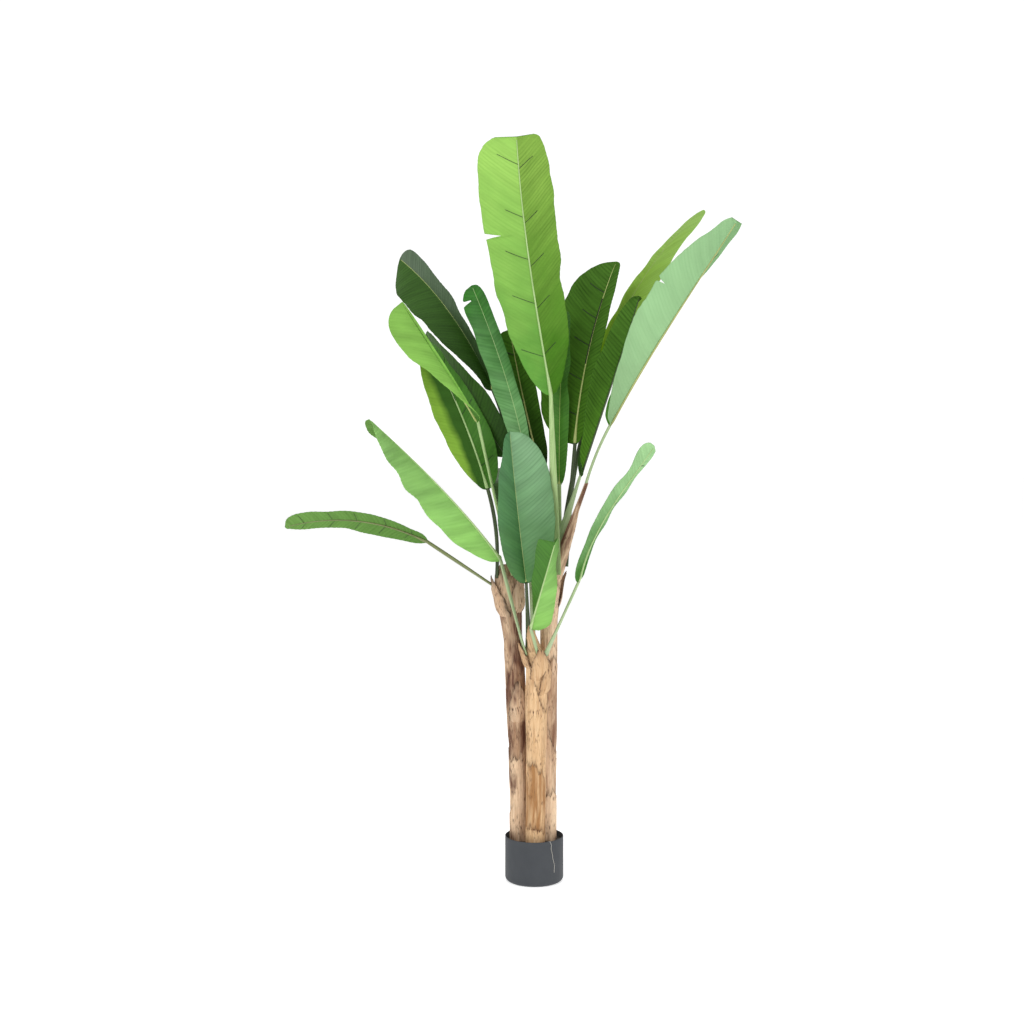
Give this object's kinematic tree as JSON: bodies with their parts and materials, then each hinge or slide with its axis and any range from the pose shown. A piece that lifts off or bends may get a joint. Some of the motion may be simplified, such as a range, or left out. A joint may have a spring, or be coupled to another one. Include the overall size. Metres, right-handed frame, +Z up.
{
  "type": "artificial banana plant in a pot",
  "caption": "Artificial banana plant: fibre-wrapped stems with large broad leaves, standing in a small round filled pot.",
  "frame": {"origin": "middle of the pot's flat underside, where it stands", "axes": "+Z up, -Y to the front, +X to the right seen from the front"},
  "size_m": [1.2389, 0.6605, 2.035],
  "materials": {
    "pot": "dark grey plastic with a soft sheen",
    "fill": "rough dark cement",
    "stem": "dry tan fibre wrapping with brown streaks",
    "leaf_pale": "printed woven leaf cloth, light green",
    "leaf_mid": "printed woven leaf cloth, mid green",
    "leaf_dark": "printed woven leaf cloth, dark green"
  },
  "bodies": {
    "root": {"pot": "pot", "pot_fill": "fill", "stem_left": "stem", "stem_front": "stem", "stem_right": "stem", "leaf_top": "leaf_pale", "leaf_back_left": "leaf_dark", "leaf_left_folded": "leaf_pale", "leaf_left_inner": "leaf_mid", "leaf_left_rear": "leaf_dark", "leaf_middle_left": "leaf_mid", "leaf_middle_rear": "leaf_dark", "leaf_rear_narrow": "leaf_mid", "leaf_middle_right": "leaf_dark", "leaf_back_right": "leaf_pale", "leaf_right_folded": "leaf_dark", "leaf_right_top": "leaf_pale", "leaf_low_right": "leaf_pale", "leaf_low_front": "leaf_mid", "leaf_low_left": "leaf_pale", "leaf_far_left": "leaf_mid", "leaf_low_small": "leaf_pale", "leaf_low_back": "leaf_dark"}
  },
  "joints": []
}
